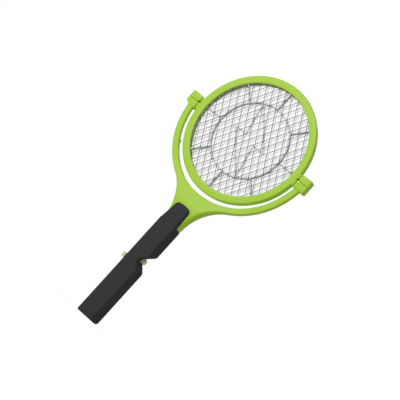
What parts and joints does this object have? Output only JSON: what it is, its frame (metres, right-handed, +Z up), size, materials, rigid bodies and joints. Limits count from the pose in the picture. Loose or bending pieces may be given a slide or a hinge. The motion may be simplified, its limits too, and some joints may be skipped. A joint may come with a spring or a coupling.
{
  "type": "electric insect racket",
  "caption": "Battery hand racket: a round electrified mesh head that tilts in a forked yoke on a black handle with trigger and slide switch.",
  "frame": {"origin": "middle of the flat butt of the handle, which is the lowest face", "axes": "+Z up the handle to the head, front face towards -Y, +X to the right seen from the front, along the head's tilt axis"},
  "size_m": [0.2474, 0.025, 0.4487],
  "materials": {
    "lime_plastic": "satin moulded",
    "black_plastic": "satin moulded, fine grain",
    "pale_lime_plastic": "satin moulded",
    "spacer_plastic": "moulded",
    "mesh_metal": "bright expanded",
    "screw_steel": "zinc plated",
    "brass": "bare",
    "circuit_board": "solder mask",
    "cell_jacket": "printed film, left plain",
    "component_black": "moulded",
    "component_red": "insulation",
    "component_pale": "lacquered"
  },
  "bodies": {
    "handle": {"handle_front_shell": "black_plastic", "handle_back_shell": "black_plastic", "yoke_front": "lime_plastic", "yoke_back": "lime_plastic", "pivot_cap_left": "lime_plastic", "pivot_cap_right": "lime_plastic", "cap_screw_left": "screw_steel", "cap_screw_right": "screw_steel", "contact_leaf_left": "brass", "contact_leaf_right": "brass", "yoke_lead_left": "component_red", "yoke_lead_right": "component_red", "circuit_board": "circuit_board", "transformer": "component_black", "reservoir_capacitor": "component_red", "transistor": "component_black", "rectifier_diode": "component_black", "bleed_resistor": "component_pale", "battery_lead_positive": "component_red", "battery_lead_negative": "component_black", "power_switch_body": "screw_steel", "trigger_switch_body": "component_black", "battery_lower": "cell_jacket", "battery_upper": "cell_jacket", "battery_spring": "screw_steel", "battery_contact_plate": "brass", "handle_screw_1": "screw_steel", "handle_screw_2": "screw_steel", "handle_screw_3": "screw_steel", "yoke_screw_1": "screw_steel", "yoke_screw_2": "screw_steel", "yoke_screw_3": "screw_steel", "yoke_screw_4": "screw_steel"},
    "head": {"ring_front": "lime_plastic", "ring_back": "lime_plastic", "guard_front": "mesh_metal", "guard_back": "mesh_metal", "spacer_front": "spacer_plastic", "spacer_back": "spacer_plastic", "electrode_grid": "mesh_metal", "trunnion_pin_left": "brass", "trunnion_pin_right": "brass", "ring_screw_1": "screw_steel", "ring_screw_2": "screw_steel", "ring_screw_3": "screw_steel", "ring_screw_4": "screw_steel", "ring_screw_5": "screw_steel", "ring_screw_6": "screw_steel"},
    "trigger": {"trigger_button": "pale_lime_plastic"},
    "switch": {"slide_knob": "pale_lime_plastic"},
    "door": {"battery_door": "black_plastic"}
  },
  "joints": [
    {"name": "head_tilt", "type": "hinge", "parent": "handle", "child": "head", "pos_m": [0, 0.0065, 0.3435], "axis": [1, 0, 0], "range_deg": [-90, 90]},
    {"name": "trigger_press", "type": "slide", "parent": "handle", "child": "trigger", "axis": [-1, 0, 0], "range_m": [0, 0.002], "stiffness_N_per_m": 750, "springref_m": -0.002},
    {"name": "power_slide", "type": "slide", "parent": "handle", "child": "switch", "axis": [0, 0, 1], "range_m": [0, 0.004]},
    {"name": "battery_door_open", "type": "hinge", "parent": "handle", "child": "door", "pos_m": [0, 0.0125, 0.0123], "axis": [-1, 0, 0], "range_deg": [0, 75]}
  ]
}
